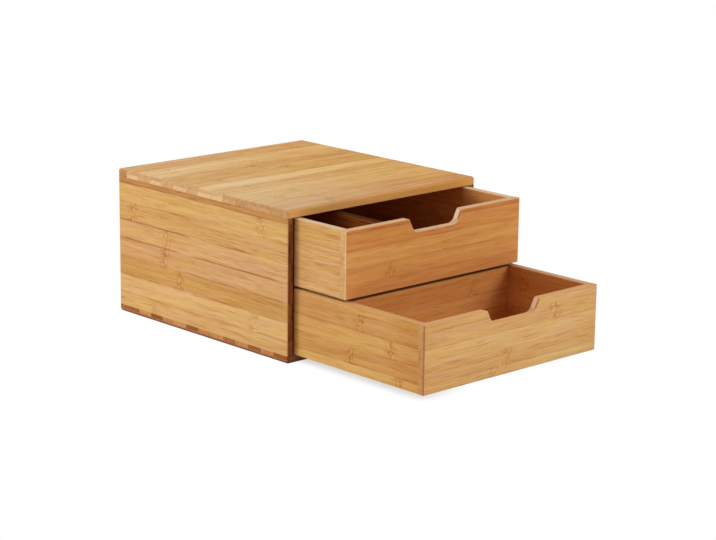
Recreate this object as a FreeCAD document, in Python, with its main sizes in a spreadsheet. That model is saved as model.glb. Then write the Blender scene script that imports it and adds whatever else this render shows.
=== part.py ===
import FreeCAD, Part
import Sketcher
import os
import re

# Tabletop chest with two drawers, made of glued bamboo boards and standing with both drawers drawn.
# Row frame: +Z up, the drawers pull out along -Y, origin at the centre of the case's underside.
# The case is a top and a bottom board over and under two side boards, dowelled, with a thin back
# panel and a thin shelf let into grooves. Each drawer is four dowelled walls round a thin bottom
# panel, with a finger notch in its front wall and one divider.

SHEET = "sizes"

DRIVING_SIZES = [
    ("case_width", 250.0, "outside of the case along X"),
    ("case_depth", 262.0, "outside of the case along Y"),
    ("case_height", 150.0, "outside of the case along Z"),
    ("board", 8.0, "thickness of every solid bamboo board"),
    ("upright_round", 2.0, "rounding of the case's four upright corners"),
    ("top_round", 2.5, "rounding of the top board's upper edges"),
    ("foot_round", 4.0, "rounding of the bottom board's lower edges"),
    ("edge_ease", 0.5, "sanded bevel of inner and drawer edges"),
    ("side_play", 1.0, "gap between a drawer and the case on each side"),
    ("running_play", 0.25, "gap between a drawer and the board it runs on"),
    ("rim_play", 0.4, "gap between the lower drawer's rim and the shelf"),
    ("drawer_height", 65.0, "height of a drawer's walls"),
    ("stop_play", 0.5, "gap behind a closed drawer"),
    ("upper_travel", 70.5, "how far the upper drawer stands open"),
    ("lower_travel", 174.0, "how far the lower drawer stands open"),
    ("shelf_thick", 2.0, "thickness of the shelf between the drawers"),
    ("shelf_groove", 3.0, "depth of the shelf's grooves in the side boards"),
    ("shelf_setback", 12.0, "from the case's front edge to the shelf"),
    ("back_thick", 4.0, "thickness of the back panel"),
    ("back_groove", 4.0, "depth of the back panel's grooves"),
    ("back_inset", 6.0, "from the case's rear edge to the back panel"),
    ("floor_thick", 3.0, "thickness of a drawer's bottom panel"),
    ("floor_groove", 4.0, "depth of the bottom panel's grooves"),
    ("floor_rise", 4.0, "from a drawer's underside to its bottom panel"),
    ("panel_play", 0.3, "gap round a thin panel's edge in its groove"),
    ("divider_drop", 1.2, "from a drawer's rim down to its divider"),
    ("dado", 2.0, "depth of the grooves that hold a divider"),
    ("narrow_bay", 43.5, "width of the upper drawer's narrow compartment"),
    ("front_bay", 100.0, "length of the lower drawer's front compartment"),
    ("notch_top", 71.0, "width of the finger notch at the rim"),
    ("notch_floor", 57.0, "width of the finger notch at its floor"),
    ("notch_depth", 13.5, "depth of the finger notch"),
    ("notch_low_round", 9.0, "radius of the notch's two lower corners"),
    ("notch_rim_round", 2.5, "radius of the notch's two corners at the rim"),
    ("dowel_diameter", 4.0, "diameter of a dowel"),
    ("dowel_long", 16.0, "length of a dowel"),
    ("face_bore", 5.0, "depth of a dowel hole in a board's face"),
    ("end_bore", 12.0, "depth of a dowel hole in a board's end"),
    ("bore_play", 0.05, "glue gap round a dowel"),
    ("case_dowel_pitch", 170.0, "spacing of the case's dowels along a joint"),
    ("low_dowel_rise", 18.0, "height of a drawer corner's lower dowel"),
    ("drawer_dowel_pitch", 30.0, "spacing of a drawer corner's two dowels"),
]

DOWELS_PER_CASE_JOINT = 2

# Lengths worked out from the driving ones, as expressions in the sheet's names.
inside_half = "(case_width / 2 - board)"
front_edge = "(-case_depth / 2)"
back_face = "(case_depth / 2 - back_inset - back_thick)"
shelf_low = "(board + running_play + drawer_height + rim_play)"
upper_floor = f"({shelf_low} + shelf_thick + running_play)"
lower_floor = "(board + running_play)"
drawer_half = f"({inside_half} - side_play)"
drawer_inside_half = f"({drawer_half} - board)"
drawer_long = f"({back_face} + case_depth / 2 - stop_play)"
divider_low = "(floor_rise + floor_thick)"
divider_high = "(drawer_height - divider_drop)"
dowel_radius = "(dowel_diameter / 2)"
dowel_in_face = "(dowel_long - end_bore + (face_bore + end_bore - dowel_long) / 2)"
case_dowel_x = "(case_width / 2 - board / 2)"
drawer_dowel_x = f"({drawer_half} - board / 2)"

doc = FreeCAD.newDocument("drawer_chest")
sheet = doc.addObject("Spreadsheet::Sheet", SHEET)
for row, (alias, value, meaning) in enumerate(DRIVING_SIZES, start=1):
    sheet.set(f"A{row}", meaning)
    sheet.set(f"B{row}", str(value))
    sheet.setAlias(f"B{row}", alias)
doc.recompute()

ALIASES = [alias for alias, value, meaning in DRIVING_SIZES]
ALIAS_WORD = re.compile(r"\b(" + "|".join(ALIASES) + r")\b")


def sheet_names(expression):
    """The expression with each of the sheet's names written as the document knows it."""
    return ALIAS_WORD.sub(SHEET + r".\1", expression)


def size(expression):
    """The present value of an expression, in millimetres."""
    return float(sheet.evalExpression(sheet_names(expression)))


def bind(thing, property_path, expression):
    """Ties a property to the sheet."""
    thing.setExpression(property_path, sheet_names(expression))


def place(thing, x="0", y="0", z="0"):
    """Ties the three coordinates of an object's place to the sheet."""
    bind(thing, "Placement.Base.x", x)
    bind(thing, "Placement.Base.y", y)
    bind(thing, "Placement.Base.z", z)


# A sketch's plane, by the axis it stands across, with the sense of its normal along that axis.
PLANES = {"X": ("YZ_Plane", 1), "Y": ("XZ_Plane", -1), "Z": ("XY_Plane", 1)}


def new_body(label):
    """An empty body with its own label."""
    body = doc.addObject("PartDesign::Body", label)
    body.Label = label
    return body


def new_sketch(body, across, level):
    """A sketch on the body's own origin plane across an axis, moved along that axis to level."""
    role, sense = PLANES[across]
    plane = [item for item in body.Origin.OriginFeatures if item.Role == role][0]
    sketch = body.newObject("Sketcher::SketchObject", body.Name + "_sketch")
    sketch.AttachmentSupport = [(plane, "")]
    sketch.MapMode = "FlatFace"
    bind(sketch, "AttachmentOffset.Base.z", f"{sense} * ({level})")
    return sketch


def draw_outline(sketch, corners):
    """A closed outline of straight lines, each corner a pair of expressions along the sketch's axes."""
    points = [FreeCAD.Vector(size(across), size(up), 0) for across, up in corners]
    first = sketch.GeometryCount
    count = len(corners)
    for here, point in enumerate(points):
        sketch.addGeometry(Part.LineSegment(point, points[(here + 1) % count]), False)
    for here in range(count):
        following = first + (here + 1) % count
        sketch.addConstraint(Sketcher.Constraint("Coincident", first + here, 2, following, 1))
    for here, (across, up) in enumerate(corners):
        for kind, expression in (("DistanceX", across), ("DistanceY", up)):
            rule = Sketcher.Constraint(kind, first + here, 1, size(expression))
            number = sketch.addConstraint(rule)
            bind(sketch, f"Constraints[{number}]", expression)


def draw_rectangle(sketch, left, right, low, high):
    """A rectangle between two expressions across and two up."""
    draw_outline(sketch, [(left, low), (right, low), (right, high), (left, high)])


def draw_circles(sketch, radius, centres):
    """Equal circles, each centre a pair of expressions."""
    for across, up in centres:
        centre = FreeCAD.Vector(size(across), size(up), 0)
        normal = FreeCAD.Vector(0, 0, 1)
        ring = sketch.addGeometry(Part.Circle(centre, normal, size(radius)), False)
        rules = (("DistanceX", across), ("DistanceY", up))
        for kind, expression in rules:
            number = sketch.addConstraint(Sketcher.Constraint(kind, ring, 3, size(expression)))
            bind(sketch, f"Constraints[{number}]", expression)
        number = sketch.addConstraint(Sketcher.Constraint("Radius", ring, size(radius)))
        bind(sketch, f"Constraints[{number}]", radius)


def pad(body, sketch, across, thickness):
    """Gives the sketch its thickness towards the positive end of the axis."""
    feature = body.newObject("PartDesign::Pad", body.Name + "_pad")
    feature.Profile = sketch
    bind(feature, "Length", thickness)
    feature.Reversed = PLANES[across][1] < 0
    doc.recompute()


def cut(body, sketch, across, depth, towards):
    """Cuts the sketch away to a depth, towards the positive (+1) or negative (-1) end of the axis."""
    before = body.Shape.Volume
    feature = body.newObject("PartDesign::Pocket", body.Name + "_cut")
    feature.Profile = sketch
    bind(feature, "Length", depth)
    feature.Reversed = PLANES[across][1] == towards
    doc.recompute()
    if body.Shape.Volume > before - 1.0:
        raise RuntimeError(f"{feature.Name} cuts nothing")


def cut_rectangle(body, across, level, bounds, depth, towards):
    """A rectangular groove or rebate from a level across an axis."""
    sketch = new_sketch(body, across, level)
    draw_rectangle(sketch, *bounds)
    cut(body, sketch, across, depth, towards)


def bore(body, across, level, centres, depth, towards):
    """Blind dowel holes from a level across an axis."""
    sketch = new_sketch(body, across, level)
    draw_circles(sketch, f"{dowel_radius} + bore_play", centres)
    cut(body, sketch, across, depth, towards)


def edges_where(body, wanted):
    """Names of the body's edges whose bounding box passes the test."""
    edges = enumerate(body.Shape.Edges, start=1)
    return [f"Edge{number}" for number, edge in edges if wanted(edge.BoundBox)]


def dress(body, kind, property_name, expression, wanted):
    """A fillet or chamfer of one size on the body's edges that pass the test."""
    base = body.Tip
    names = edges_where(body, wanted)
    feature = body.newObject("PartDesign::" + kind, body.Name + "_" + kind.lower())
    feature.Base = (base, names)
    bind(feature, property_name, expression)
    doc.recompute()


def fillet(body, radius, wanted):
    """Rounds the edges that pass the test."""
    dress(body, "Fillet", "Radius", radius, wanted)


def ease(body, wanted):
    """Takes the sharpness off the edges that pass the test."""
    dress(body, "Chamfer", "Size", "edge_ease", wanted)


NEAR = 0.01


def lies_at(low, high, value):
    """True where a stretch of a bounding box is flat and at the value."""
    return abs(low - value) < NEAR and abs(high - value) < NEAR


def upright(box):
    """True for an edge along Z."""
    return box.XLength < NEAR and box.YLength < NEAR


# ---------------------------------------------------------------- case

case_dowel_rows = [
    f"{step} * case_dowel_pitch"
    for step in (number - (DOWELS_PER_CASE_JOINT - 1) / 2 for number in range(DOWELS_PER_CASE_JOINT))
]


def flat_board(label, level, joint_level, inward, edge_level, round_name):
    """Top or bottom board: full size, with the back panel's groove and the side boards' dowel holes."""
    body = new_body(label)
    outline = new_sketch(body, "Z", level)
    draw_rectangle(outline, "-case_width / 2", "case_width / 2", "-case_depth / 2", "case_depth / 2")
    pad(body, outline, "Z", "board")
    groove_end = f"({inside_half} + back_groove)"
    bounds = (f"-{groove_end}", groove_end, back_face, f"{back_face} + back_thick")
    cut_rectangle(body, "Z", joint_level, bounds, "back_groove", -inward)
    centres = [(f"{hand} * {case_dowel_x}", y) for hand in (-1, 1) for y in case_dowel_rows]
    bore(body, "Z", joint_level, centres, "face_bore", -inward)
    edge = size(edge_level)
    fillet(body, round_name, lambda box: lies_at(box.ZMin, box.ZMax, edge))
    corner_x = size(f"case_width / 2 - {round_name}") - NEAR
    corner_y = size(f"case_depth / 2 - {round_name}") - NEAR
    fillet(body, "upright_round", lambda box: box.ZLength > NEAR
           and min(abs(box.XMin), abs(box.XMax)) > corner_x and min(abs(box.YMin), abs(box.YMax)) > corner_y)
    return body


def side_board(label, hand):
    """Side board between top and bottom, grooved inside for the shelf and the back panel."""
    body = new_body(label)
    outline = new_sketch(body, "X", "-case_width / 2" if hand < 0 else inside_half)
    draw_rectangle(outline, front_edge, "case_depth / 2", "board", "case_height - board")
    pad(body, outline, "X", "board")
    inner_level = f"{hand} * {inside_half}"
    shelf_bounds = (f"{front_edge} + shelf_setback", back_face, shelf_low, f"{shelf_low} + shelf_thick")
    cut_rectangle(body, "X", inner_level, shelf_bounds, "shelf_groove", hand)
    back_bounds = (back_face, f"{back_face} + back_thick", "board", "case_height - board")
    cut_rectangle(body, "X", inner_level, back_bounds, "back_groove", hand)
    centres = [(f"{hand} * {case_dowel_x}", y) for y in case_dowel_rows]
    bore(body, "Z", "board", centres, "end_bore", 1)
    bore(body, "Z", "case_height - board", centres, "end_bore", -1)
    outer = hand * size("case_width / 2")
    fillet(body, "upright_round", lambda box: upright(box) and lies_at(box.XMin, box.XMax, outer))
    inner = hand * size(inside_half)
    front = size(front_edge)
    ease(body, lambda box: upright(box) and lies_at(box.XMin, box.XMax, inner)
         and lies_at(box.YMin, box.YMax, front))
    return body


def thin_panel(label, across, level, bounds, thickness):
    """A plain thin panel."""
    body = new_body(label)
    outline = new_sketch(body, across, level)
    draw_rectangle(outline, *bounds)
    pad(body, outline, across, thickness)
    return body


top_board = flat_board("top_board", "case_height - board", "case_height - board", -1,
                       "case_height", "top_round")
bottom_board = flat_board("bottom_board", "0", "board", 1, "0", "foot_round")
left_side_board = side_board("left_side_board", -1)
right_side_board = side_board("right_side_board", 1)

panel_half = f"({inside_half} + back_groove - panel_play)"
back_panel = thin_panel(
    "back_panel", "Y", back_face,
    (f"-{panel_half}", panel_half, "board - back_groove + panel_play",
     "case_height - board + back_groove - panel_play"),
    "back_thick")

shelf_half = f"({inside_half} + shelf_groove - panel_play)"
middle_shelf = thin_panel(
    "middle_shelf", "Z", shelf_low,
    (f"-{shelf_half}", shelf_half, f"{front_edge} + shelf_setback + panel_play", back_face),
    "shelf_thick")


# ---------------------------------------------------------------- drawers

drawer_dowel_levels = ("low_dowel_rise", "low_dowel_rise + drawer_dowel_pitch")
drawer_dowel_places = [
    (f"{hand} * {drawer_dowel_x}", z) for hand in (-1, 1) for z in drawer_dowel_levels
]

# The notch's outline across the rim, from its left corner down, along its floor and up again.
notch_corners = [
    ("-notch_top / 2", "drawer_height"),
    ("-notch_floor / 2", "drawer_height - notch_depth"),
    ("notch_floor / 2", "drawer_height - notch_depth"),
    ("notch_top / 2", "drawer_height"),
]


def end_wall(label, level, inner_level, inward, notched):
    """Front or rear wall: full width over the side walls' ends, grooved for the bottom panel."""
    body = new_body(label)
    outline = new_sketch(body, "Y", level)
    rim = notch_corners if notched else []
    corners = [(f"-{drawer_half}", "drawer_height")] + rim + [(drawer_half, "drawer_height"),
               (drawer_half, "0"), (f"-{drawer_half}", "0")]
    draw_outline(outline, corners)
    pad(body, outline, "Y", "board")
    if notched:
        floor = size("drawer_height - notch_depth")
        rim_level = size("drawer_height")
        rim_half = size("notch_top / 2")
        fillet(body, "notch_low_round",
               lambda box: box.YLength > 1 and lies_at(box.ZMin, box.ZMax, floor) and box.XLength < NEAR)
        fillet(body, "notch_rim_round",
               lambda box: box.YLength > 1 and lies_at(box.ZMin, box.ZMax, rim_level)
               and abs(abs(box.XMin) - rim_half) < NEAR)
    groove_end = f"({drawer_inside_half} + floor_groove)"
    groove = (f"-{groove_end}", groove_end, "floor_rise", "floor_rise + floor_thick")
    cut_rectangle(body, "Y", inner_level, groove, "floor_groove", -inward)
    bore(body, "Y", inner_level, drawer_dowel_places, "face_bore", -inward)
    outer = size(level if inward > 0 else f"{level} + board")
    inner = size(inner_level)
    notch_level = size("drawer_height - notch_depth")
    ease(body, lambda box: lies_at(box.YMin, box.YMax, outer)
         or (lies_at(box.YMin, box.YMax, inner) and box.ZMin > notch_level - NEAR))
    return body


def side_wall(label, hand):
    """Side wall between the end walls, grooved inside for the bottom panel."""
    body = new_body(label)
    outline = new_sketch(body, "X", f"-{drawer_half}" if hand < 0 else drawer_inside_half)
    draw_rectangle(outline, "board", f"{drawer_long} - board", "0", "drawer_height")
    pad(body, outline, "X", "board")
    inner_level = f"{hand} * {drawer_inside_half}"
    groove = ("board", f"{drawer_long} - board", "floor_rise", "floor_rise + floor_thick")
    cut_rectangle(body, "X", inner_level, groove, "floor_groove", hand)
    centres = [(f"{hand} * {drawer_dowel_x}", z) for z in drawer_dowel_levels]
    bore(body, "Y", "board", centres, "end_bore", 1)
    bore(body, "Y", f"{drawer_long} - board", centres, "end_bore", -1)
    rim = size("drawer_height")
    outer = hand * size(drawer_half)
    ease(body, lambda box: box.YLength > rim
         and (lies_at(box.ZMin, box.ZMax, rim)
              or (lies_at(box.XMin, box.XMax, outer) and lies_at(box.ZMin, box.ZMax, 0))))
    return body


def bottom_panel(label):
    """Thin panel held all round in the walls' grooves."""
    reach = "(floor_groove - panel_play)"
    panel_side = f"({drawer_inside_half} + {reach})"
    bounds = (f"-{panel_side}", panel_side, f"board - {reach}", f"{drawer_long} - board + {reach}")
    return thin_panel(label, "Z", "floor_rise", bounds, "floor_thick")


def divider_between_ends(label, end_walls):
    """Divider from front to rear, seated in grooves in both end walls."""
    near_side = f"(-{drawer_inside_half} + narrow_bay)"
    bounds = (near_side, f"{near_side} + board", divider_low, divider_high)
    for body, inner_level, inward in end_walls:
        cut_rectangle(body, "Y", inner_level, bounds, "dado", -inward)
    body = new_body(label)
    outline = new_sketch(body, "X", near_side)
    draw_rectangle(outline, "board - dado", f"{drawer_long} - board + dado", divider_low, divider_high)
    pad(body, outline, "X", "board")
    top = size(divider_high)
    ease(body, lambda box: box.YLength > top and lies_at(box.ZMin, box.ZMax, top))
    return body


def divider_between_sides(label, side_walls):
    """Divider across the drawer, seated in grooves in both side walls."""
    near_face = "(board + front_bay)"
    bounds = (near_face, f"{near_face} + board", divider_low, divider_high)
    for body, hand in side_walls:
        cut_rectangle(body, "X", f"{hand} * {drawer_inside_half}", bounds, "dado", hand)
    body = new_body(label)
    outline = new_sketch(body, "Y", near_face)
    half = f"({drawer_inside_half} + dado)"
    draw_rectangle(outline, f"-{half}", half, divider_low, divider_high)
    pad(body, outline, "Y", "board")
    top = size(divider_high)
    ease(body, lambda box: box.XLength > top and lies_at(box.ZMin, box.ZMax, top))
    return body


def drawer(name, travel, underside, make_divider):
    """The six boards of a drawer, in the drawer's own frame: Y from its front face, Z from its underside."""
    rear_level = f"{drawer_long} - board"
    front = end_wall(f"{name}_front", "0", "board", 1, True)
    rear = end_wall(f"{name}_back", rear_level, rear_level, -1, False)
    sides = [(side_wall(f"{name}_left_side", -1), -1), (side_wall(f"{name}_right_side", 1), 1)]
    ends = [(front, "board", 1), (rear, rear_level, -1)]
    floor = bottom_panel(f"{name}_bottom")
    divider = make_divider(f"{name}_divider", ends, sides)
    boards = [front, rear, sides[0][0], sides[1][0], floor, divider]
    for board_body in boards:
        place(board_body, y=f"{front_edge} - {travel}", z=underside)
    return boards


upper_boards = drawer("upper_drawer", "upper_travel", upper_floor,
                      lambda label, ends, sides: divider_between_ends(label, ends))
lower_boards = drawer("lower_drawer", "lower_travel", lower_floor,
                      lambda label, ends, sides: divider_between_sides(label, sides))


# ---------------------------------------------------------------- dowels

def dowel(name, along, x, y, z):
    """A dowel that starts at a point and runs along Y or Z."""
    peg = doc.addObject("Part::Cylinder", name)
    bind(peg, "Radius", dowel_radius)
    bind(peg, "Height", "dowel_long")
    if along == "Y":
        peg.Placement.Rotation = FreeCAD.Rotation(FreeCAD.Vector(0, 0, 1), FreeCAD.Vector(0, 1, 0))
    place(peg, x, y, z)
    return peg


def dowel_group(label, pegs):
    """All dowels of one assembly as separate solids in one object."""
    group = doc.addObject("Part::Compound", label)
    group.Label = label
    group.Links = pegs
    return group


case_pegs = []
for hand in (-1, 1):
    for place_y in case_dowel_rows:
        for start in (f"board - {dowel_in_face}", f"case_height - board + {dowel_in_face} - dowel_long"):
            peg_name = f"case_peg_{len(case_pegs) + 1}"
            case_pegs.append(dowel(peg_name, "Z", f"{hand} * {case_dowel_x}", place_y, start))
case_dowels = dowel_group("case_dowels", case_pegs)


def drawer_dowels(name, travel, underside):
    """Two dowels in each corner of a drawer, through the joint between end wall and side wall."""
    front_y = f"{front_edge} - {travel}"
    starts = (f"board - {dowel_in_face}", f"{drawer_long} - board + {dowel_in_face} - dowel_long")
    pegs = []
    for x, z in drawer_dowel_places:
        for start in starts:
            peg_name = f"{name}_peg_{len(pegs) + 1}"
            pegs.append(dowel(peg_name, "Y", x, f"{front_y} + {start}", f"{underside} + {z}"))
    return dowel_group(f"{name}_dowels", pegs)


upper_dowels = drawer_dowels("upper_drawer", "upper_travel", upper_floor)
lower_dowels = drawer_dowels("lower_drawer", "lower_travel", lower_floor)


# ---------------------------------------------------------------- checks and files

doc.recompute()

for thing in doc.Objects:
    if "Invalid" in thing.State or "Error" in thing.State:
        raise RuntimeError(f"{thing.Name} did not compute: {thing.State}")

sub_parts = [
    top_board, bottom_board, left_side_board, right_side_board, back_panel, middle_shelf, case_dowels,
    *upper_boards, upper_dowels, *lower_boards, lower_dowels,
]

os.makedirs("parts", exist_ok=True)
for sub_part in sub_parts:
    shape = sub_part.Shape
    if shape.isNull() or not shape.isValid():
        raise RuntimeError(f"{sub_part.Label} has no valid shape")
    shape.exportStep(os.path.join("parts", sub_part.Label + ".step"))
    box = shape.BoundBox
    print(f"{sub_part.Label}: {len(shape.Solids)} solid(s), {shape.Volume / 1000:.1f} cm3, "
          f"{box.XLength:.1f} x {box.YLength:.1f} x {box.ZLength:.1f} mm")
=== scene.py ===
import math

import bpy
import numpy as np
from mathutils import Matrix, Vector

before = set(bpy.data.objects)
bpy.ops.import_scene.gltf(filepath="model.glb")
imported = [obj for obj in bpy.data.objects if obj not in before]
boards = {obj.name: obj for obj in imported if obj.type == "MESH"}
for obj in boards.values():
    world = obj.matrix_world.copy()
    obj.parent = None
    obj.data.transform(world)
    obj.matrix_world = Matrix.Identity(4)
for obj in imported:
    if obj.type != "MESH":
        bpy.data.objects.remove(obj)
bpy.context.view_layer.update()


# ---------------------------------------------------------------------------
# Top board
# An 8 mm panel pressed from two layers of bamboo strips, each about 19 mm wide and
# laid from side to side. It is glued and dowelled onto the side boards, so its end
# grain shows at the left and right. Satin lacquer.
# ---------------------------------------------------------------------------
def feed(tree, socket, value):
    """Joins a socket to another node's output, or types a plain number or colour into it."""
    if isinstance(value, bpy.types.NodeSocket):
        tree.links.new(value, socket)
    elif value is not None:
        socket.default_value = value


def node(tree, kind, *inputs, **settings):
    """Adds one shader node, makes its settings, and feeds its inputs from the first on."""
    made = tree.nodes.new("ShaderNode" + kind)
    for key, value in settings.items():
        setattr(made, key, value)
    for socket, value in zip(made.inputs, inputs):
        feed(tree, socket, value)
    return made


def sum_of(tree, operation, *inputs):
    """The output of one Math node: inputs joined by an operation such as ADD or MULTIPLY_ADD."""
    return node(tree, "Math", *inputs, operation=operation).outputs[0]


def eased(tree, value, low, high, start=0.0, end=1.0):
    """A smooth step: start below low, end above high, and an S-shaped rise between them."""
    return node(tree, "MapRange", value, low, high, start, end, interpolation_type="SMOOTHSTEP").outputs[0]


def swayed(tree, value, reach):
    """A number of 0 to 1 made a shift to one side or the other: reach times (value - 1/2)."""
    return sum_of(tree, "MULTIPLY_ADD", value, reach, -reach / 2)


def blended(tree, share, first, second):
    """Colour mix: first where share is 0, second where it is 1."""
    mix = node(tree, "Mix", data_type="RGBA")
    for socket, value in zip((mix.inputs[0], mix.inputs[6], mix.inputs[7]), (share, first, second)):
        feed(tree, socket, value)
    return mix.outputs[2]


def stained(tree, colour, stain):
    """A colour seen through a stain: the two multiplied."""
    mix = node(tree, "Mix", 1.0, data_type="RGBA", blend_type="MULTIPLY")
    feed(tree, mix.inputs[6], colour)
    feed(tree, mix.inputs[7], stain)
    return mix.outputs[2]


def paint(red, green, blue):
    """A colour given as 0 to 255 screen values, as the light it gives off: ((c + 0.055) / 1.055) ^ 2.4."""
    light = [((c / 255 + 0.055) / 1.055) ** 2.4 for c in (red, green, blue)]
    return (*light, 1.0)


def drawn_out(tree, along, side, deep, length, thickness, detail, roughness=0.55):
    """Noise stretched along the grain: its patches are about length long and thickness wide, in metres."""
    point = node(
        tree,
        "CombineXYZ",
        sum_of(tree, "MULTIPLY", along, 1 / length),
        sum_of(tree, "MULTIPLY", side, 1 / thickness),
        sum_of(tree, "MULTIPLY", deep, 1 / thickness),
    ).outputs[0]
    return node(tree, "TexNoise", point, None, 1.0, detail, roughness).outputs[0]


def ramp(tree, value, blend, places, colours):
    """A row of colours, each at its place from 0 to 1, joined smoothly or in steps."""
    made = node(tree, "ValToRGB", value)
    made.color_ramp.interpolation = blend
    stops = made.color_ramp.elements
    while len(stops) < len(colours):
        stops.new(0.5)
    for i, place in enumerate(places):
        stops[i].position = place
    for i, colour in enumerate(colours):
        stops[i].color = colour
    return made.outputs[0]


def stepped(tree, number, values):
    """Up to three values for each strip: those that the list holds for strip 0, 1, 2 and so on."""
    count = len(values)
    share = sum_of(tree, "MULTIPLY_ADD", number, 1 / count, 0.5 / count)
    rows = [(*row, 0.0, 0.0)[:3] + (1.0,) for row in values]
    colour = ramp(tree, share, "CONSTANT", [i / count for i in range(count)], rows)
    return node(tree, "SeparateColor", colour).outputs


def toned(tree, value, colours):
    """A smooth row of colours, evenly spaced from 0 to 1."""
    return ramp(tree, value, "B_SPLINE", [i / (len(colours) - 1) for i in range(len(colours))], colours)


def span(board, axis):
    """The lowest and the highest place of a board along an axis, in metres."""
    places = [corner["XYZ".index(axis)] for corner in boards[board].bound_box]
    return min(places), max(places)


def bare_material(name):
    """A new material without any nodes, and its node tree."""
    material = bpy.data.materials.new(name)
    material.use_nodes = True
    material.node_tree.nodes.clear()
    return material, material.node_tree


def lacquer(board, material, colour, roughness, gloss, height, dents):
    """Ends a wood's nodes in a lacquer that follows the height of its fibres, and puts the material on a
    board. The two numbers in dents are how strongly fibres show and how deep they are, in metres."""
    tree = material.node_tree
    bump = node(tree, "Bump", *dents)
    feed(tree, bump.inputs["Height"], height)
    coat = node(tree, "BsdfPrincipled")
    coat.inputs["Specular IOR Level"].default_value = gloss
    feed(tree, coat.inputs["Base Color"], colour)
    feed(tree, coat.inputs["Roughness"], roughness)
    feed(tree, coat.inputs["Normal"], bump.outputs[0])
    tree.links.new(coat.outputs[0], node(tree, "OutputMaterial").inputs["Surface"])
    for slot in boards[board].material_slots:
        slot.material = material


# Noise patches of the fibres: length along the grain and thickness in metres, then how many finer layers
# they have and how strong those are.
BROAD = (0.13, 0.0060, 2.0)
STREAK = (0.040, 0.0014, 3.0, 0.65)
FINE = (0.012, 0.00034, 2.0)
BUNDLE = (0.026, 0.0009, 1.0)
CRINKLE = (0.0020, 0.0050, 2.0)
HUE_PATCH = (0.06, 0.008, 2.0)
SEAM_PATCH = (0.05, 0.37, 1.0)
END_DOTS = (0.0012, 0.0006, 2.0)
END_SMEAR = (0.02, 0.0040, 1.0)
NODE_WAVER = (1.0, 0.006, 1.0)
SLOW_BEND = (0.06, 1.0, 2.0)
SWIRL = (0.005, 0.005, 1.0)

# How far that noise moves a culm node and the fibres aside, in metres, and how far it shifts the hue.
NODE_SWAY, SLOW_SWAY, SWIRL_SWAY = 0.012, 0.004, 0.007
HUE_SWAY = 1.8

# How much of a tone each of them darkens, where 1 is the whole row of tones.
BROAD_DARK, STREAK_DARK, FINE_DARK = 0.28, 0.32, 0.18
BUNDLE_STEP, BUNDLE_DARK = (0.56, 0.72), (-0.02, 0.16)
CRINKLE_DARK, CRINKLE_PALE = 0.80, -0.35
RING_DARK = 0.06
BASE_SHIFT = -0.01
DOTS_DARK, SMEAR_DARK = 0.5, 0.4

# Where things lie in a strip and in a board.
REACH = 1.0  # metres of grain that a strip's culm node may lie in, half to each side of the origin
STRIP_SHIFT = 0.0371  # each strip reads the noise this much further on, so no two look alike
NODE_NEAR, NODE_FAR = 0.003, 0.011  # fibres curl fully within the first, and not at all past the second
RING_NEAR, RING_FAR = 0.0003, 0.0012  # the thin dark line along a culm node
GLUE_WIDTH = (0.2, 1.5)  # mm from a seam at which its glue line starts to fade, and is gone
GLUE_PATCHES, GLUE_DARK = (0.30, 0.65), 0.30
LAST_SEAM = 0.2  # how dark the seam past the last strip is
SHADING_DEPTH = 0.0018
LAYER_BLUR, SHADING_BLUR = 0.0001, 0.0004  # half the metres over which one layer turns into the next
PLY_DEPTHS, PLY_SHARE = (0.0022, 0.0030), 0.9  # where a wall's outer ply gives way to its core
NOTCH_REACH = 0.05  # a finger notch lies within this much of the wall's middle
DARKER_END_LENGTH = 0.05

# How squarely a face has to look along an axis: none of the finish at the first, all of it at the second.
ROUNDED = (0.78, 0.97)
END_FACE = (0.60, 0.85)
RIM_FACE = (0.40, 0.75)
INSIDE_FACE = (0.60, 0.90)

WHITE = (1.0, 1.0, 1.0, 1.0)
# Painted shade inside the drawers: an orange tint and a rosier hue on the faces that look in.
INSIDE_SHADE_TINT, INSIDE_SHADE_ROSIER = (1.0, 0.78, 0.52, 1.0), 0.3
# A painted sheen: the whitish reflection of light, strongest at one corner of the top.
SHEEN_COLOUR, SHEEN_MIX, SHEEN_SHARE = paint(216, 190, 150), 0.40, 0.9
SAWN_AND_LIT_SHARE = 0.85
GLUE_HEIGHT, NODE_HEIGHT, FINE_HEIGHT = -0.5, 0.4, 0.6
BAMBOO_DENTS = (0.30, 0.00012)
STREAK_RANGE, SATIN = (0.2, 0.8), (0.56, 0.70)  # the lacquer's roughness, from pale streaks to dark ones
GOLDEN = (
    paint(246, 222, 174), paint(230, 194, 126), paint(208, 159, 82), paint(177, 119, 48), paint(124, 75, 26),
)
ROSY = (
    paint(244, 217, 190), paint(227, 184, 144), paint(205, 150, 98), paint(175, 111, 58), paint(122, 67, 30),
)
CREAM_END = (paint(238, 208, 160), paint(214, 168, 118), paint(188, 134, 82), paint(152, 96, 54))


def strip_plan(tree, place, start, pitch, strips):
    """Which strip a point is in, from its place across the strips: the strip's number from 0, the number
    of the seam nearest to the point, the distance to that seam in mm, and the strip's own tone, hue,
    culm node and seam as bamboo() is given them."""
    strip = sum_of(tree, "MULTIPLY_ADD", place, 1000 / pitch, -start / pitch)
    number = sum_of(tree, "FLOOR", strip)
    within = sum_of(tree, "FRACT", strip)
    tone, hue, knot = stepped(tree, number, [(t, h, 0.5 + k / 1000 / REACH) for t, h, k, _ in strips])
    seam_number = sum_of(tree, "FLOOR", sum_of(tree, "ADD", strip, 0.5))
    seam = stepped(tree, seam_number, [(s,) for _, _, _, s in strips] + [(LAST_SEAM,)])[0]
    edge = sum_of(tree, "MINIMUM", within, sum_of(tree, "SUBTRACT", 1.0, within))
    return number, seam_number, sum_of(tree, "MULTIPLY", edge, pitch), tone, hue, knot, seam


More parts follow.
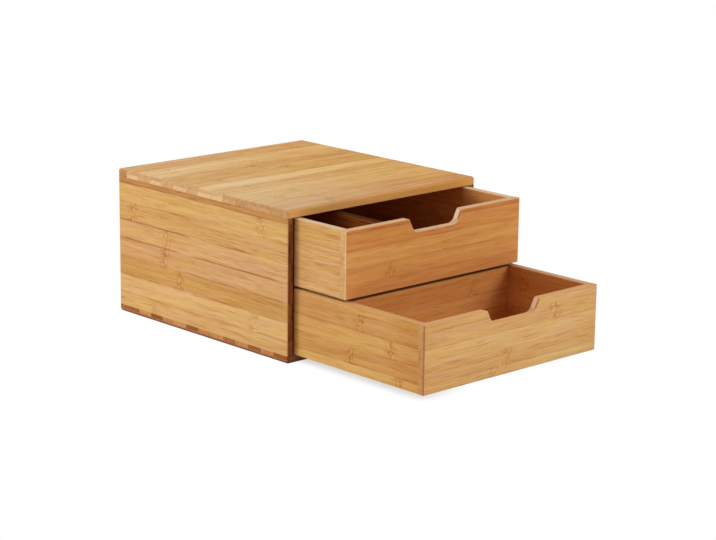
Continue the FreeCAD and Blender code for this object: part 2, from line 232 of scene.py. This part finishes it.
def grown(tree, u, v, w, number, knot, seed):
    """How fibres run in a strip: they wander a little along it, and curl where the culm had a node.
    Gives the fibres' own place across the strip and depth, the strip's shift, how far they are bent
    aside, how much they curl, and the distance to the culm node."""
    shift = sum_of(tree, "MULTIPLY_ADD", number, STRIP_SHIFT, seed)
    deep = sum_of(tree, "ADD", w, shift)
    away = sum_of(tree, "SUBTRACT", u, swayed(tree, knot, REACH))
    away = sum_of(tree, "ADD", away, swayed(tree, drawn_out(tree, shift, v, deep, *NODE_WAVER), NODE_SWAY))
    distance = sum_of(tree, "ABSOLUTE", away)
    curl = eased(tree, distance, NODE_NEAR, NODE_FAR, 1.0, 0.0)
    v = sum_of(tree, "ADD", v, swayed(tree, drawn_out(tree, u, shift, shift, *SLOW_BEND), SLOW_SWAY))
    bend = sum_of(tree, "MULTIPLY", curl, swayed(tree, drawn_out(tree, u, v, deep, *SWIRL), SWIRL_SWAY))
    return sum_of(tree, "ADD", v, bend), deep, shift, bend, curl, distance


def end_blocks(tree, board, third, w, number, ends, end_edge_shading):
    """How dark the end grain is: two layers of blocks, one to each strip, and painted shade along the
    board's low side and its high side, a painted highlight where it is below 0."""
    low, high = span(board, third)
    near_layer, far_layer = stepped(tree, number, ends)[:2]
    middle = (low + high) / 2
    layer = eased(tree, w, middle - LAYER_BLUR, middle + LAYER_BLUR)
    block = sum_of(tree, "MULTIPLY_ADD", layer, sum_of(tree, "SUBTRACT", far_layer, near_layer), near_layer)
    low_shading, high_shading, deepest = end_edge_shading
    for depth, darker in (
        (sum_of(tree, "SUBTRACT", w, low), low_shading),
        (sum_of(tree, "SUBTRACT", high, w), high_shading),
    ):
        side = eased(tree, depth, deepest - SHADING_BLUR, deepest + SHADING_BLUR, darker, 0.0)
        block = sum_of(tree, "ADD", block, side)
    return block


def bamboo(
    board, grain, across, start, pitch, strips, ends, tones=(GOLDEN, ROSY), end_tones=CREAM_END,
    rim=None, flank=None, end_edge_shading=(0.0, 0.0, SHADING_DEPTH), inside_shade=None, sheen_corner=None, end_tints=None,
    figure=1.0, darker_ends=0.0, rounded_edge_shade=0.0, worn_and_highlit=0.10, gloss=0.08, seed=0.0,
):
    """Gives one board its bamboo. Strips of the given pitch (mm) run along the grain axis and lie side by
    side along the across axis from start (mm). Each strip is (tone, hue, knot, seam): how dark it is, how
    rosy it is, where its culm node lies along the grain in mm, and how dark the glue line below it is.
    Each pair in ends is how dark a strip's end grain is in the layer nearer the low side and in the other
    one. The other values are what was done to the board, and the light and shade painted on it:
    rim: two colours of a sawn upper edge, partly painted light: paler where the rim catches light, darker
    where it lies in shade;
    flank: colours of the outer ply and of the core where the finger notch cuts them;
    end_edge_shading: how much darker painted shade makes the board's ends along their low side and along
    their high side, how much paler a painted highlight makes them where below 0, and how deep that goes, in
    metres;
    inside_shade: sign and axis of the face that looks into a drawer, and how much darker painted shade makes
    it;
    sheen_corner: the corner (u, v) from which a painted sheen pales the wood, and how far it reaches, in
    metres;
    end_tints: a tint at the low end of the grain and one at the high end, blended along it;
    figure: the strength of the fibre streaks;
    darker_ends: how much darker the last 50 mm of each end are;
    rounded_edge_shade: how much darker painted shade makes the rounded edges;
    worn_and_highlit: how pale those edges are, sanded and partly a painted highlight;
    gloss: how much the lacquer mirrors."""
    material, tree = bare_material("bamboo_" + board)
    place = node(tree, "TexCoord")
    position = node(tree, "SeparateXYZ", place.outputs["Object"]).outputs
    facing = node(tree, "SeparateXYZ", place.outputs["Normal"]).outputs
    if inside_shade:
        sign, axis, inside_shade_amount = inside_shade
        shaded_inward = eased(tree, facing[axis], INSIDE_FACE[0] * sign, INSIDE_FACE[1] * sign)
    third = ({"X", "Y", "Z"} - {grain, across}).pop()
    u, v, w = position[grain], position[across], position[third]
    facing = [sum_of(tree, "ABSOLUTE", facing[axis]) for axis in (grain, across, third)]
    flattest = sum_of(tree, "MAXIMUM", sum_of(tree, "MAXIMUM", facing[0], facing[1]), facing[2])
    low, high = span(board, grain)

    number, seam_number, from_seam, tone, hue, knot, seam = strip_plan(tree, v, start, pitch, strips)
    v, deep, shift, bend, curl, from_node = grown(tree, u, v, w, number, knot, seed)

    # Fibre streaks from broad and faint to hair-fine, and the crinkled fibres of a node.
    broad, streak, fine = (drawn_out(tree, u, v, deep, *patch) for patch in (BROAD, STREAK, FINE))
    fibres = eased(tree, drawn_out(tree, u, v, deep, *BUNDLE), *BUNDLE_STEP, *BUNDLE_DARK)
    for noise, dark in ((broad, BROAD_DARK), (streak, STREAK_DARK), (fine, FINE_DARK)):
        fibres = sum_of(tree, "ADD", fibres, swayed(tree, noise, dark))
    crinkle = drawn_out(tree, sum_of(tree, "ADD", u, bend), v, deep, *CRINKLE)
    crinkle = sum_of(tree, "MULTIPLY_ADD", crinkle, CRINKLE_DARK, CRINKLE_PALE)
    mark = sum_of(tree, "MULTIPLY", curl, crinkle)
    ring = eased(tree, from_node, RING_NEAR, RING_FAR, RING_DARK, 0.0)
    value = sum_of(tree, "MULTIPLY_ADD", fibres, figure, sum_of(tree, "ADD", tone, BASE_SHIFT))
    value = sum_of(tree, "ADD", value, sum_of(tree, "ADD", mark, ring))

    # Glue lines between strips: reddish, soft, dark in places and faint in others.
    patchy = drawn_out(tree, u, seam_number, shift, *SEAM_PATCH)
    line = sum_of(tree, "MULTIPLY", seam, eased(tree, patchy, *GLUE_PATCHES))
    line = sum_of(tree, "MULTIPLY", line, eased(tree, from_seam, *GLUE_WIDTH, 1.0, 0.0))
    value = sum_of(tree, "MULTIPLY_ADD", line, GLUE_DARK, value)

    # Painted shade on the faces inside a drawer and on the rounded edges, darker ends, and the hue's slow
    # drift.
    hue = sum_of(tree, "ADD", hue, swayed(tree, drawn_out(tree, u, v, deep, *HUE_PATCH), HUE_SWAY))
    if inside_shade:
        value = sum_of(tree, "MULTIPLY_ADD", shaded_inward, inside_shade_amount, value)
        hue = sum_of(tree, "MULTIPLY_ADD", shaded_inward, INSIDE_SHADE_ROSIER, hue)
    # Painted shade on the rounded edges.
    value = sum_of(tree, "ADD", value, eased(tree, flattest, *ROUNDED, rounded_edge_shade, 0.0))
    if darker_ends:
        half = (high - low) / 2
        off_middle = sum_of(tree, "ABSOLUTE", sum_of(tree, "SUBTRACT", u, (low + high) / 2))
        value = sum_of(tree, "ADD", value, eased(tree, off_middle, half - DARKER_END_LENGTH, half, 0.0, darker_ends))
    hue = node(tree, "Clamp", sum_of(tree, "ADD", hue, line)).outputs[0]
    colour = blended(tree, hue, toned(tree, value, tones[0]), toned(tree, value, tones[1]))
    # Painted sheen, palest at the given corner.
    if sheen_corner:
        corner_u, corner_v, radius = sheen_corner
        point = node(tree, "CombineXYZ", u, v).outputs[0]
        corner = (corner_u, corner_v, 0)
        reach = node(tree, "VectorMath", point, corner, operation="DISTANCE").outputs["Value"]
        sheened = blended(tree, SHEEN_MIX, colour, SHEEN_COLOUR)
        colour = blended(tree, eased(tree, reach, 0.0, radius, SHEEN_SHARE, 0.0), colour, sheened)
    # A tint that changes from one end of the grain to the other.
    if end_tints:
        colour = stained(tree, colour, blended(tree, eased(tree, u, low, high), *end_tints))
    if inside_shade:
        colour = stained(tree, colour, blended(tree, shaded_inward, WHITE, INSIDE_SHADE_TINT))

    # End grain: cut fibre bundles as dots and smears, and the plies in a finger notch.
    end = eased(tree, facing[0], *END_FACE)
    block = end_blocks(tree, board, third, w, number, ends, end_edge_shading)
    for patch, dark in ((END_DOTS, DOTS_DARK), (END_SMEAR, SMEAR_DARK)):
        block = sum_of(tree, "ADD", block, swayed(tree, drawn_out(tree, u, v, deep, *patch), dark))
    colour = blended(tree, end, colour, toned(tree, block, end_tones))
    if flank:
        outer = span(board, third)[0]
        near = sum_of(tree, "LESS_THAN", sum_of(tree, "ABSOLUTE", u), NOTCH_REACH)
        cut = sum_of(tree, "MULTIPLY", sum_of(tree, "MULTIPLY", end, near), PLY_SHARE)
        plies = blended(tree, eased(tree, w, *(outer + depth for depth in PLY_DEPTHS)), *flank)
        colour = blended(tree, cut, colour, plies)

    # Sanded edges are paler, partly as a painted highlight, and so are the sawn rims of drawer walls, partly
    # as painted light where they face it.
    sanded_and_highlit = eased(tree, flattest, *ROUNDED, worn_and_highlit, 0.0)
    sanded_and_highlit = sum_of(tree, "MULTIPLY", sanded_and_highlit, sum_of(tree, "SUBTRACT", 1.0, end))
    colour = blended(tree, sanded_and_highlit, colour, tones[1][0])
    if rim:
        sawn_and_lit = eased(tree, facing[1], *RIM_FACE, 0.0, SAWN_AND_LIT_SHARE)
        colour = blended(tree, sawn_and_lit, colour, blended(tree, streak, *rim))

    height = sum_of(tree, "MULTIPLY", mark, NODE_HEIGHT)
    height = sum_of(tree, "MULTIPLY_ADD", line, GLUE_HEIGHT, height)
    height = sum_of(tree, "MULTIPLY_ADD", fine, FINE_HEIGHT, height)
    roughness = eased(tree, streak, *STREAK_RANGE, *SATIN)
    lacquer(board, material, colour, roughness, gloss, height, BAMBOO_DENTS)


FLAT_START, FLAT_PITCH = -149, 19  # mm: where the first strip starts, and how wide strips are
TOP_STRIPS = [
    (0.41, 0.7, 60, 0.2), (0.46, 0.9, -60, 0.5), (0.44, 0.6, -59, 0.6), (0.37, 0.5, -93, 0.3),
    (0.34, 0.4, -59, 0.2), (0.36, 0.4, 99, 0.3), (0.41, 0.4, -80, 0.4), (0.21, 0.3, 115, 0.1),
    (0.42, 0.3, -85, 0.3), (0.43, 0.3, 15, 0.3), (0.43, 0.5, -9, 0.3), (0.33, 0.4, 7, 0.3),
    (0.27, 0.4, -95, 0.2), (0.42, 0.5, 89, 0.4), (0.40, 0.5, -29, 0.3),
]
TOP_ENDS = [
    (0.60, 0.60), (0.55, 0.58), (0.50, 0.64), (0.48, 0.56), (0.58, 0.54), (0.44, 0.50), (0.22, 0.36),
    (0.20, 0.40), (0.38, 0.46), (0.22, 0.42), (0.42, 0.38), (0.21, 0.48), (0.42, 0.40), (0.22, 0.42),
    (0.70, 0.66),
]
bamboo("top_board", "X", "Y", FLAT_START, FLAT_PITCH, TOP_STRIPS, TOP_ENDS,
       rim=(paint(236, 178, 100), paint(212, 146, 66)), sheen_corner=(-0.125, -0.125, 0.17),
       end_tints=(WHITE, (0.95, 0.84, 0.60, 1.0)), figure=1.5, rounded_edge_shade=0.10, seed=1.3)


# ---------------------------------------------------------------------------
# Bottom board
# The same two-layer panel under the side boards, glued and dowelled to them. Its colours
# are painted darker as shade under the drawers, its lower edges are well rounded, and painted shade darkens
# them.
# ---------------------------------------------------------------------------
# Browns painted darker as the shade under the drawers.
SHADED_BROWN = (
    paint(205, 160, 112), paint(176, 118, 70), paint(140, 84, 46), paint(104, 58, 34), paint(74, 38, 22),
)
SHADED_BROWN_TONES = (SHADED_BROWN, SHADED_BROWN)
# How far the painted contact shadow reaches up the bottom board's end grain.
BASE_SHADING_DEPTH = 0.0028
BASE_END = (paint(222, 172, 126), paint(208, 150, 96), paint(176, 110, 60), paint(132, 74, 38))
BASE_ENDS = [
    (0.60, 0.90), (0.66, 0.86), (0.58, 0.52), (0.62, 0.85), (0.54, 0.44), (0.66, 0.72), (0.56, 0.44),
    (0.64, 0.52), (0.56, 0.86), (0.60, 0.36), (0.58, 0.50), (0.66, 0.94), (0.60, 0.36), (0.62, 0.80),
    (0.62, 0.74),
]
bamboo("bottom_board", "X", "Y", FLAT_START, FLAT_PITCH, TOP_STRIPS[::-1], BASE_ENDS,
       tones=SHADED_BROWN_TONES, end_tones=BASE_END, end_edge_shading=(0.45, 0.0, BASE_SHADING_DEPTH),
       rounded_edge_shade=0.40, worn_and_highlit=0.0, seed=4.7)


# ---------------------------------------------------------------------------
# Side boards
# Upright 8 mm panels between the top and the bottom board. Their strips run from
# front to back, and their front edges are dark, oiled end grain, painted darker still as shade beside the
# drawers.
# ---------------------------------------------------------------------------
SIDE_START, SIDE_PITCH = 3.4, 19
# Dark end grain, painted darker still as the shade that the drawers beside it cast.
DARK_END_AND_SHADE = (
    paint(192, 124, 72), paint(168, 101, 52), paint(142, 80, 40), paint(92, 47, 23), paint(38, 16, 9),
)
SIDE_ENDS = [
    (0.40, 0.35), (0.55, 0.50), (0.35, 0.60), (0.50, 0.40), (0.45, 0.60), (0.60, 0.45), (0.50, 0.55),
    (0.40, 0.60),
]
LEFT_STRIPS = [
    (0.39, 0.5, 74, 0.2), (0.34, 0.4, -81, 0.4), (0.53, 0.4, 31, 0.8), (0.44, 0.8, 56, 0.5),
    (0.40, 0.7, 54, 1.0), (0.46, 0.5, 109, 0.9), (0.41, 0.3, -91, 0.5), (0.62, 0.7, 300, 0.6),
]
RIGHT_STRIPS = [(t, h, -k, s) for t, h, k, s in LEFT_STRIPS[3:] + LEFT_STRIPS[:3]]
# Painted shade of the slit between a side board and the drawers, along the inner side of its front edge.
INNER_EDGE_SHADE = 0.6
SIDE_STAIN = ((0.97, 0.95, 0.87, 1.0), (0.98, 0.93, 0.80, 1.0))
for board, strips, end_shades, seed in (
    ("left_side_board", LEFT_STRIPS, (0.0, INNER_EDGE_SHADE), 2.1),
    ("right_side_board", RIGHT_STRIPS, (INNER_EDGE_SHADE, 0.0), 8.9),
):
    bamboo(board, "Y", "Z", SIDE_START, SIDE_PITCH, strips, SIDE_ENDS, end_tones=DARK_END_AND_SHADE,
           end_edge_shading=(*end_shades, SHADING_DEPTH), end_tints=SIDE_STAIN, worn_and_highlit=0.0, seed=seed)


# ---------------------------------------------------------------------------
# Back panel
# A 4 mm panel of one layer of bamboo strips, let into grooves all round, 6 mm in from
# the rear edges. It closes the case and keeps it square.
# ---------------------------------------------------------------------------
PANEL_STRIPS = [
    (0.46, 0.5, 20, 0.3), (0.40, 0.4, -70, 0.4), (0.52, 0.7, 95, 0.3), (0.46, 0.5, -20, 0.5),
    (0.42, 0.3, 60, 0.3), (0.50, 0.6, -100, 0.4), (0.38, 0.4, 35, 0.3), (0.48, 0.6, -45, 0.5),
]
PANEL_ENDS = [(0.4, 0.5), (0.6, 0.4)]
BACK_START = 0
bamboo("back_panel", "X", "Z", BACK_START, FLAT_PITCH, PANEL_STRIPS, PANEL_ENDS, seed=5.5)


# ---------------------------------------------------------------------------
# Middle shelf
# A 2 mm bamboo sheet that carries the upper drawer, slid into a groove in each side
# board. It stands 12 mm back from the front.
# ---------------------------------------------------------------------------
bamboo("middle_shelf", "X", "Y", FLAT_START, FLAT_PITCH, PANEL_STRIPS * 2, PANEL_ENDS, seed=6.4)


# ---------------------------------------------------------------------------
# Drawer fronts
# 8 mm bamboo walls over the side walls' ends, with a finger notch cut down from the
# rim. The cut shows a brown outer layer on a pale core. The upper one is darker.
# ---------------------------------------------------------------------------
WALL_PITCH = 16.3
UPPER_START, LOWER_START = 72, 1
HONEY = (
    paint(244, 215, 162), paint(228, 188, 118), paint(207, 153, 77), paint(177, 113, 43), paint(124, 71, 23),
)
HONEY_ROSY = (
    paint(242, 210, 178), paint(226, 178, 134), paint(205, 144, 91), paint(175, 105, 52), paint(122, 63, 27),
)
DEEP = (
    paint(249, 207, 132), paint(233, 173, 91), paint(213, 144, 65), paint(187, 112, 41), paint(132, 71, 22),
)
DEEP_ROSY = (
    paint(247, 199, 138), paint(231, 165, 99), paint(211, 134, 71), paint(183, 102, 47), paint(128, 63, 26),
)
SAND_END = (paint(244, 206, 150), paint(219, 172, 113), paint(199, 148, 90), paint(162, 106, 60))
TAN_END = (paint(218, 168, 114), paint(202, 147, 91), paint(184, 127, 73), paint(150, 96, 52))
WALL_ENDS = [(0.50, 0.45), (0.55, 0.50), (0.45, 0.55), (0.50, 0.40), (0.40, 0.35)]
UPPER_FRONT = [
    (0.47, 0.8, 180, 0.3), (0.41, 0.5, -60, 0.4), (0.37, 0.4, 190, 0.3), (0.48, 0.6, -200, 0.4),
    (0.60, 0.8, 210, 0.3),
]
LOWER_FRONT = [
    (0.31, 0.5, -27, 0.3), (0.36, 0.5, -7, 0.3), (0.29, 0.4, 200, 0.3), (0.34, 0.5, 58, 0.3),
    (0.34, 0.4, 210, 0.3),
]
HONEYED = (HONEY, HONEY_ROSY)
# How much darker painted shade makes the inner faces of drawer fronts and backs.
INSIDE_SHADE_DARK = 0.12
# A painted line along the front face of each front's end grain: a highlight on the upper, shade on the
# lower.
bamboo("upper_drawer_front", "X", "Z", UPPER_START, WALL_PITCH, UPPER_FRONT, WALL_ENDS,
       tones=(DEEP, DEEP_ROSY), end_tones=SAND_END, rim=(paint(224, 190, 150), paint(206, 166, 124)),
       flank=(paint(150, 95, 55), paint(240, 208, 174)), end_edge_shading=(-0.30, 0.0, SHADING_DEPTH),
       inside_shade=(1, "Y", INSIDE_SHADE_DARK), seed=3.3)
bamboo("lower_drawer_front", "X", "Z", LOWER_START, WALL_PITCH, LOWER_FRONT, WALL_ENDS,
       tones=HONEYED, end_tones=TAN_END, rim=(paint(224, 172, 120), paint(206, 150, 98)),
       flank=(paint(175, 135, 80), paint(234, 196, 162)), end_edge_shading=(0.42, 0.0, SHADING_DEPTH),
       inside_shade=(1, "Y", INSIDE_SHADE_DARK), end_tints=((0.98, 0.92, 0.83, 1.0), (1.0, 0.98, 0.90, 1.0)),
       darker_ends=0.05, seed=7.3)


# ---------------------------------------------------------------------------
# Drawer backs
# The same 8 mm bamboo walls at the rear, without a notch. They cover the side walls'
# ends too, and are dowelled to them.
# ---------------------------------------------------------------------------
PALE_RIM = (paint(228, 202, 162), paint(210, 178, 138))
for board, start, strips, seed in (
    ("upper_drawer_back", UPPER_START, UPPER_FRONT[::-1], 3.8),
    ("lower_drawer_back", LOWER_START, LOWER_FRONT[::-1], 7.9),
):
    bamboo(board, "X", "Z", start, WALL_PITCH, strips, WALL_ENDS, end_tones=TAN_END, rim=PALE_RIM,
           inside_shade=(-1, "Y", INSIDE_SHADE_DARK), seed=seed)


# ---------------------------------------------------------------------------
# Drawer side walls
# 8 mm bamboo walls between front and back, dowelled into both. Their rims are pale
# sawn edges.
# ---------------------------------------------------------------------------
UPPER_SIDE = [
    (0.45, 0.5, 0, 0.3), (0.47, 0.5, -100, 0.4), (0.44, 0.4, 40, 0.3), (0.48, 0.4, -30, 0.3),
    (0.46, 0.2, -120, 0.2),
]
LOWER_SIDE = [
    (0.42, 0.1, -272, 0.3), (0.53, 0.3, -206, 0.5), (0.45, 0.2, -262, 0.4), (0.53, 0.3, -218, 0.3),
    (0.53, 0.3, -60, 0.2),
]
DULL_RIM = (paint(216, 174, 136), paint(198, 152, 114))
TAN_RIM = (paint(216, 168, 112), paint(198, 148, 92))
# The side walls' inner faces are a little paler, under the same orange tint of painted shade.
PALE_INSIDE = -0.08
for side, inner, lower_rim, upper_seed, lower_seed in (
    ("left", 1, TAN_RIM, 0.6, 2.6),
    ("right", -1, DULL_RIM, 9.6, 11.6),
):
    inside_shade = (inner, "X", PALE_INSIDE)
    bamboo(f"upper_drawer_{side}_side", "Y", "Z", UPPER_START, WALL_PITCH, UPPER_SIDE, WALL_ENDS,
           tones=HONEYED, rim=PALE_RIM, inside_shade=inside_shade, figure=1.2, seed=upper_seed)
    bamboo(f"lower_drawer_{side}_side", "Y", "Z", LOWER_START, WALL_PITCH, LOWER_SIDE, WALL_ENDS,
           tones=HONEYED, rim=lower_rim, inside_shade=inside_shade, darker_ends=0.08, seed=lower_seed)


# ---------------------------------------------------------------------------
# Dividers
# 8 mm bamboo boards pushed into upright grooves: from front to back in the upper
# drawer, and from side to side in the lower one. The upper one is painted far darker, with a near-black rim,
# as shade.
# ---------------------------------------------------------------------------
# A near-black rim painted as shade; the dividers' inner faces get painted shade as well.
SHADED_RIM = (paint(52, 28, 14), paint(36, 18, 8))
BROWN_RIM = (paint(158, 104, 64), paint(128, 78, 44))
bamboo("upper_drawer_divider", "Y", "Z", UPPER_START, WALL_PITCH, UPPER_SIDE, WALL_ENDS,
       tones=SHADED_BROWN_TONES, rim=SHADED_RIM, inside_shade=(-1, "X", 0.10), figure=1.2, gloss=0.0, seed=11)
bamboo("lower_drawer_divider", "X", "Z", LOWER_START, WALL_PITCH, LOWER_FRONT, WALL_ENDS,
       rim=BROWN_RIM, inside_shade=(-1, "Y", 0.14), seed=12)


# ---------------------------------------------------------------------------
# Drawer bottoms
# 3 mm bamboo panels, held all round in grooves that run 4 mm above the lower edges of
# the four walls.
# ---------------------------------------------------------------------------
for board, start, seed in (("upper_drawer_bottom", -250, 13), ("lower_drawer_bottom", -350, 14)):
    bamboo(board, "X", "Y", start, FLAT_PITCH, PANEL_STRIPS * 3, PANEL_ENDS, seed=seed)


# ---------------------------------------------------------------------------
# Dowels
# Turned beech pins, 4 by 16 mm, glued across every joint of the case and the drawers.
# The wood is pale and pinkish, with short dark flecks along the pin.
# ---------------------------------------------------------------------------
BEECH = (paint(236, 204, 168), paint(222, 184, 144), paint(200, 154, 112), paint(160, 112, 76))
BEECH_RINGS = (0.05, 0.0012, 2.0)
BEECH_FLECKS = (0.0018, 0.00022, 1.0)
RINGS_DARK = 0.6
FLECK_STEP, FLECK_DARK = (0.60, 0.72), 0.35
RING_RANGE, BEECH_ROUGHNESS, BEECH_GLOSS = (0.3, 0.7), (0.60, 0.75), 0.2
BEECH_DENTS = (0.25, 0.00008)


def beech(group, grain):
    """Gives one group of dowels its beech: faint rings, and flecks about 2 mm long along the grain axis."""
    material, tree = bare_material("beech_" + group)
    position = node(tree, "SeparateXYZ", node(tree, "TexCoord").outputs["Object"]).outputs
    first, second = [position[axis] for axis in "XYZ" if axis != grain]
    rings, flecks = (
        drawn_out(tree, position[grain], first, second, *patch) for patch in (BEECH_RINGS, BEECH_FLECKS)
    )
    dark = eased(tree, flecks, *FLECK_STEP, 0.0, FLECK_DARK)
    value = sum_of(tree, "MULTIPLY_ADD", rings, RINGS_DARK, dark)
    roughness = eased(tree, rings, *RING_RANGE, *BEECH_ROUGHNESS)
    lacquer(group, material, toned(tree, value, BEECH), roughness, BEECH_GLOSS, flecks, BEECH_DENTS)


for group, grain in (("case_dowels", "Z"), ("upper_drawer_dowels", "Y"), ("lower_drawer_dowels", "Y")):
    beech(group, grain)


# ---------------------------------------------------------------------------
# Floor
# A sheet of white card under the chest, which fades into the white around it and
# keeps a faint shadow.
# ---------------------------------------------------------------------------
def sheet_mesh(name, size, count):
    """A flat square at height 0. Point (i, j) of a count by count grid lies at
    ((i, j) / (count - 1) - 1/2) times the size."""
    steps = np.linspace(-size / 2, size / 2, count)
    x, y = np.meshgrid(steps, steps, indexing="ij")
    points = np.stack([x.ravel(), y.ravel(), np.zeros(count * count)], axis=1)
    first = (np.arange(count - 1)[:, None] * count + np.arange(count - 1)).ravel()
    faces = np.stack([first, first + count, first + count + 1, first + 1], axis=1)
    mesh = bpy.data.meshes.new(name)
    mesh.from_pydata(points.tolist(), [], faces.tolist())
    made = bpy.data.objects.new(name, mesh)
    bpy.context.scene.collection.objects.link(made)
    return made


def looked_at(tree):
    """1 where the camera, a mirroring face or glass looks at something, and 0 for the light it sends out."""
    ray = node(tree, "LightPath").outputs
    mirrored = sum_of(tree, "MAXIMUM", ray["Is Glossy Ray"], ray["Is Transmission Ray"])
    return sum_of(tree, "MAXIMUM", ray["Is Camera Ray"], mirrored)


SHEET_SIZE, SHEET_POINTS = 12.0, 3
SHADE_CENTRE = (0.0, -0.087, 0.0)  # the shadow lies in a rectangle under the chest and the drawers
SHADE_HALF = (0.098, 0.200, 0.0)
SHADE_FADE = 0.020
DARKEST = (-0.13, -0.20, 0.0)  # under the lower drawer's left side, where the floor is darkest
DARKEST_REACH = (0.08, 0.13)
PALEST, DEEPEST = 0.985, 0.64  # how white the shaded card stays, and how white it is at its darkest
floor = sheet_mesh("floor", SHEET_SIZE, SHEET_POINTS)
paper, tree = bare_material("white_paper")
place = node(tree, "TexCoord").outputs["Object"]
offset = node(tree, "VectorMath", place, SHADE_CENTRE, operation="SUBTRACT").outputs[0]
offset = node(tree, "VectorMath", offset, operation="ABSOLUTE").outputs[0]
offset = node(tree, "VectorMath", offset, SHADE_HALF, operation="SUBTRACT").outputs[0]
offset = node(tree, "VectorMath", offset, (0.0, 0.0, 0.0), operation="MAXIMUM").outputs[0]
outside = node(tree, "VectorMath", offset, operation="LENGTH").outputs["Value"]
from_darkest = node(tree, "VectorMath", place, DARKEST, operation="DISTANCE").outputs["Value"]
nearest = eased(tree, from_darkest, *DARKEST_REACH, DEEPEST, PALEST)
share = eased(tree, outside, 0.0, SHADE_FADE, nearest, 1.0)
matt = node(tree, "BsdfDiffuse", paint(250, 251, 252))
glow = node(tree, "Emission", WHITE, 1.0)
share = sum_of(tree, "MULTIPLY", looked_at(tree), share)
mix = node(tree, "MixShader", share, matt.outputs[0], glow.outputs[0])
tree.links.new(mix.outputs[0], node(tree, "OutputMaterial").inputs["Surface"])
floor.data.materials.append(paper)


# ---------------------------------------------------------------------------
# Light
# A white room, a window to the left and a little behind, a softbox in front on the
# right and a large one overhead.
# ---------------------------------------------------------------------------
ROOM = 0.22  # how brightly the white room lights the chest, where 1 is white
world = bpy.data.worlds.new("studio")
world.use_nodes = True
bpy.context.scene.world = world
tree = world.node_tree
tree.nodes.clear()
strength = sum_of(tree, "MULTIPLY_ADD", looked_at(tree), 1.0 - ROOM, ROOM)
sky = node(tree, "Background", WHITE, strength)
tree.links.new(sky.outputs[0], node(tree, "OutputWorld").inputs["Surface"])


def softbox(name, place, aim, size, power):
    """A square area lamp at place that faces aim."""
    lamp = bpy.data.lights.new(name, "AREA")
    lamp.shape = "SQUARE"
    lamp.size = size
    lamp.energy = power
    made = bpy.data.objects.new(name, lamp)
    turn = (Vector(aim) - Vector(place)).to_track_quat("-Z", "Y").to_matrix().to_4x4()
    made.matrix_world = Matrix.Translation(place) @ turn
    bpy.context.scene.collection.objects.link(made)


MIDDLE = (0.0, -0.08, 0.07)
softbox("left_window", (-2.75, 1.6, 1.3), MIDDLE, 1.6, 60)
softbox("front_softbox", (1.6, -2.6, 1.6), MIDDLE, 1.6, 54)
softbox("overhead", (-0.6, 0.5, 3.0), MIDDLE, 2.0, 32)


# ---------------------------------------------------------------------------
# Camera
# Stands to the left of the front, a little above the chest, and looks down on it
# through a long lens.
# ---------------------------------------------------------------------------
STAND = (-1.4306, -1.6155, 0.5835)
YAW, DIP, TILT = 43.235, 13.923, 0.74  # degrees turned right of +Y, tipped down, and leant over
FOCAL_LENGTH, FILM_WIDTH = 109.156, 36.0
bpy.context.scene.view_settings.view_transform = "Standard"
yaw, dip, tilt = (math.radians(angle) for angle in (YAW, DIP, TILT))
ahead = Vector((math.sin(yaw) * math.cos(dip), math.cos(yaw) * math.cos(dip), -math.sin(dip)))
level = Vector((math.cos(yaw), -math.sin(yaw), 0.0))
above = level.cross(ahead)
right = level * math.cos(tilt) + above * math.sin(tilt)
up = above * math.cos(tilt) - level * math.sin(tilt)
lens = bpy.data.cameras.new("camera")
lens.lens = FOCAL_LENGTH
lens.sensor_width = FILM_WIDTH
camera = bpy.data.objects.new("camera", lens)
turn = Matrix((right, up, -ahead)).transposed().to_4x4()
camera.matrix_world = Matrix.Translation(STAND) @ turn
bpy.context.scene.collection.objects.link(camera)
bpy.context.scene.camera = camera
